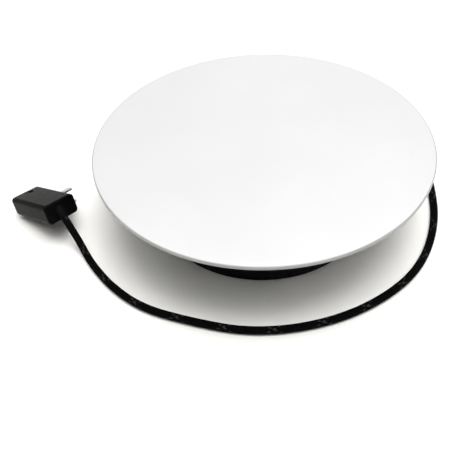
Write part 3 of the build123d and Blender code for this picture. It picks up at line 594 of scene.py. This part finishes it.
def make_strain_relief():
    """A tapered rubber sleeve: a collar on each side of the drum's wall, then grooves that let it bend."""
    low, high = (Vector(c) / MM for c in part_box("strain_relief"))
    height = (low.z + high.z) / 2
    wall = Vector(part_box("base_shell")[1]).y / MM
    tip = high.y
    inside = low.y + RELIEF_INNER_COLLAR
    outline = [(0, low.y), (RELIEF_COLLAR - 0.4, low.y), (RELIEF_COLLAR, low.y + 0.4)]
    outline += [(RELIEF_COLLAR, inside), (RELIEF_NECK, inside + 0.2), (RELIEF_NECK, wall + 0.1)]
    outline.append((RELIEF_COLLAR, wall + 0.1))
    outline.append((RELIEF_COLLAR, wall + RELIEF_OUTER_COLLAR))
    outline += arc((RELIEF_COLLAR - 1.0, wall + RELIEF_OUTER_COLLAR + 0.1), 1.0, 0, 80)
    start = wall + RELIEF_PLAIN_ROOT
    pitch = (tip - RELIEF_PLAIN_TIP - start) / RELIEF_GROOVES
    for k in range(RELIEF_GROOVES):
        for share, depth in GROOVE:
            along = start + pitch * (k + share)
            taper = (along - wall) / (tip - wall)
            outline.append((RELIEF_ROOT + (RELIEF_TIP - RELIEF_ROOT) * taper - depth, along))
    outline += [(RELIEF_TIP, tip - 0.8)] + arc((RELIEF_TIP - 0.7, tip - 0.7), 0.7, 0, 90, 4)
    outline.append((0, tip))
    place = Matrix.Translation((0, 0, height * MM)) @ Matrix.Rotation(-pi / 2, 4, "X")
    return lathe("strain_sleeve", outline, RELIEF_SEGMENTS, place)


finish_piece(make_strain_relief(), "base", "rubber", ("strain_relief",))


# ---- controls ---------------------------------------------------------------------------------------------
def joint_frame(name, radius):
    """A frame at a control, radius mm from the wheel's axis: x along the drum's wall, y up, z outwards."""
    joint = next(j for j in frame["record"]["behaviour"]["joints"] if j["name"] == name)
    place = Vector(joint["pos_m"])
    out = Vector((place.x, place.y, 0)).normalized()
    along = Vector((-out.y, out.x, 0))
    origin = Vector((out.x * radius * MM, out.y * radius * MM, place.z))
    turn = Matrix((along, (0, 0, 1), out)).transposed().to_4x4()
    return Matrix.Translation(origin) @ turn


def plates(name, outlines, thick, place, edge=0.0):
    """Thin plates in mm, one for each outline, raised from the plane z = 0 of a place; edge softens them."""
    made = bmesh.new()
    for outline in outlines:
        face = made.faces.new([made.verts.new((x, y, 0)) for x, y in outline])
        grown = bmesh.ops.extrude_face_region(made, geom=[face])["geom"]
        raised = [v for v in grown if isinstance(v, bmesh.types.BMVert)]
        bmesh.ops.translate(made, verts=raised, vec=(0, 0, thick))
    bmesh.ops.recalc_face_normals(made, faces=made.faces)
    if edge:
        bmesh.ops.bevel(made, geom=made.edges[:], offset=edge, segments=2, profile=0.6, affect="EDGES")
    mesh = bpy.data.meshes.new(name)
    made.to_mesh(mesh)
    made.free()
    mesh.transform(place @ Matrix.Scale(MM, 4))
    piece = bpy.data.objects.new(name, mesh)
    bpy.context.scene.collection.objects.link(piece)
    return piece


def bar(centre, size, turn=0.0, steps=6):
    """A bar's outline with round ends, long in y before it is turned."""
    half, reach = size[0] / 2, size[1] / 2 - size[0] / 2
    ends = arc((0, reach), half, 0, 180, steps) + arc((0, -reach), half, 180, 360, steps)
    c, s = cos(turn), sin(turn)
    return [(centre[0] + x * c - y * s, centre[1] + x * s + y * c) for x, y in ends]


DIAL_MARKS = 11
DIAL_SWEEP = 270.0
DIAL_RADIUS = 15.6
MARK_WIDE = 0.7
MARK_SHORT = 2.0
MARK_LONG = 3.4
LONG_EVERY = 5
MARK_PROUD = 0.12
MARK_SUNK = 0.04
drum_radius = Vector(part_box("base_shell")[1]).x / MM


def make_dial():
    """Ticks round the speed knob, moulded to the drum's curve; every fifth is longer."""
    outlines = []
    for k in range(DIAL_MARKS):
        turn = -radians(DIAL_SWEEP * k / (DIAL_MARKS - 1))
        long = MARK_SHORT if k % LONG_EVERY else MARK_LONG
        reach = DIAL_RADIUS + long / 2
        outlines.append(bar((-reach * sin(turn), reach * cos(turn)), (MARK_WIDE, long), turn))
    dial = plates("dial_marks", outlines, MARK_PROUD, Matrix.Identity(4))
    for vertex in dial.data.vertices:
        bent = vertex.co.x / MM / drum_radius
        depth = (drum_radius - MARK_SUNK) * MM + vertex.co.z
        vertex.co = (depth * sin(bent), vertex.co.y, depth * cos(bent))
    dial.data.transform(joint_frame("knob_turn", 0.0))
    return dial


KNOB_GAP = 0.8
KNOB_DEEP = 14.0
KNOB_FACE = drum_radius + KNOB_GAP + KNOB_DEEP
POINTER_SIZE = (1.1, 6.6)
POINTER_RADIUS = 7.4
POINTER_THICK = 0.55
POINTER_SUNK = 0.6
POINTER_EDGE = 0.1


def make_pointer():
    """The pale line set into the knob's face."""
    outline = bar((0, POINTER_RADIUS), POINTER_SIZE)
    place = joint_frame("knob_turn", KNOB_FACE - POINTER_SUNK)
    return plates("knob_pointer", [outline], POINTER_THICK, place, POINTER_EDGE)


SWITCH_FLAT = 0.6
SWITCH_PROUD = 1.8
ROCKER_PIVOT = 3.0
ROCKER_PIVOT_RADIUS = drum_radius - SWITCH_FLAT + SWITCH_PROUD - ROCKER_PIVOT
ROCKER_TILT = radians(10)
ROCKER_MIDDLE = 3.4
ROCKER_RISE = 1.8
ROCKER_HALF = 7.4
ROCKER_MARK_THICK = 0.05
ON_MARK = (0.6, 3.0)
OFF_MARK = (1.5, 0.95)


def rocker_face(side):
    """The frame on the middle of the rocker's upper (1) or lower (-1) face, which rises to its end."""
    slope = Matrix.Rotation(side * atan2(ROCKER_RISE, ROCKER_HALF), 4, "X")
    middle = Matrix.Translation((0, side * ROCKER_HALF / 2 * MM, (ROCKER_MIDDLE + ROCKER_RISE / 2) * MM))
    tilt = Matrix.Rotation(-ROCKER_TILT, 4, "X")
    return joint_frame("rocker_tip", ROCKER_PIVOT_RADIUS) @ tilt @ middle @ slope


def ring_mark(name, outer, inner, thick, place, segments=32):
    """A thin flat ring in mm on the plane z = 0 of a place."""
    section = [(inner, thick), (outer, thick), (outer, 0), (inner, 0)]
    turns = [2 * pi * k / segments for k in range(segments)]
    points = [(q * cos(a) * MM, q * sin(a) * MM, z * MM) for a in turns for q, z in section]
    faces = [[v % len(points) for v in face] for face in grid_faces(segments + 1, len(section))]
    ring = add_mesh(name, points, faces, smooth=False)
    ring.data.transform(place)
    return ring


finish_piece(make_dial(), "base", "light_plastic")
finish_piece(make_pointer(), "knob", "light_plastic")
on_mark = plates("rocker_on_mark", [bar((0, 0), ON_MARK)], ROCKER_MARK_THICK, rocker_face(1))
finish_piece(on_mark, "rocker", "light_plastic")
off_mark = ring_mark("rocker_off_mark", *OFF_MARK, ROCKER_MARK_THICK, rocker_face(-1))
finish_piece(off_mark, "rocker", "light_plastic")


# ---- floor and light --------------------------------------------------------------------------------------
FLOOR_RADIUS = 1.2
FLOOR_SIDES = 96
FLOOR_TONES = ((0.895, 0.886, 0.856), (0.910, 0.901, 0.871))

SOFT_BOXES = [
    ("large_soft_box", (0.198, 0.088, 2.2), 3.39, 68.2),
    ("middle_soft_box", (0.198, 0.088, 2.19), 1.6, 37.1),
    ("small_soft_box", (0.44, -0.453, 2.18), 0.66, 4.0),
]

HORIZON_STRENGTH = 1.3
ABOVE_STRENGTH = 0.02
BAND_TOP = 0.09
BAND_FADED = 0.26


def make_floor():
    """A plain pale round floor that the wheel stands on."""
    rim = [2 * pi * k / FLOOR_SIDES for k in range(FLOOR_SIDES)]
    edge = [(FLOOR_RADIUS * cos(a), FLOOR_RADIUS * sin(a), 0) for a in rim]
    floor = add_mesh("floor", edge, [list(range(FLOOR_SIDES))], smooth=False)
    made = Shader("floor")
    made.feed("Base Color", made.mix(made.noise(3, 3), *FLOOR_TONES))
    made.feed("Roughness", made.spread(made.noise(20, 3), 0.55, 0.65))
    paint(floor, made.material)


def soft_light(name, place, size, watts):
    """A square soft box that faces the wheel."""
    data = bpy.data.lights.new(name, "AREA")
    data.shape = "SQUARE"
    data.size = size
    data.energy = watts
    light = bpy.data.objects.new(name, data)
    bpy.context.scene.collection.objects.link(light)
    light.location = place
    light.rotation_mode = "QUATERNION"
    light.rotation_quaternion = Vector(place).to_track_quat("Z", "Y")


def make_world():
    """Studio surroundings: a pale band round the horizon, dark above it but for the soft boxes."""
    world = bpy.data.worlds.new("studio")
    bpy.context.scene.world = world
    world.use_nodes = True
    tree = world.node_tree
    where = tree.nodes.new("ShaderNodeTexCoord")
    split = tree.nodes.new("ShaderNodeSeparateXYZ")
    ramp = tree.nodes.new("ShaderNodeMapRange")
    ramp.interpolation_type = "SMOOTHSTEP"
    tree.links.new(where.outputs["Generated"], split.inputs[0])
    tree.links.new(split.outputs[2], ramp.inputs["Value"])
    ramp.inputs["From Min"].default_value = BAND_TOP
    ramp.inputs["From Max"].default_value = BAND_FADED
    ramp.inputs["To Min"].default_value = HORIZON_STRENGTH
    ramp.inputs["To Max"].default_value = ABOVE_STRENGTH
    background = tree.nodes["Background"]
    background.inputs["Color"].default_value = (1.0, 1.0, 1.0, 1.0)
    tree.links.new(ramp.outputs[0], background.inputs["Strength"])


make_floor()
make_world()
for soft_box in SOFT_BOXES:
    soft_light(*soft_box)
bpy.context.scene.view_settings.view_transform = "Standard"
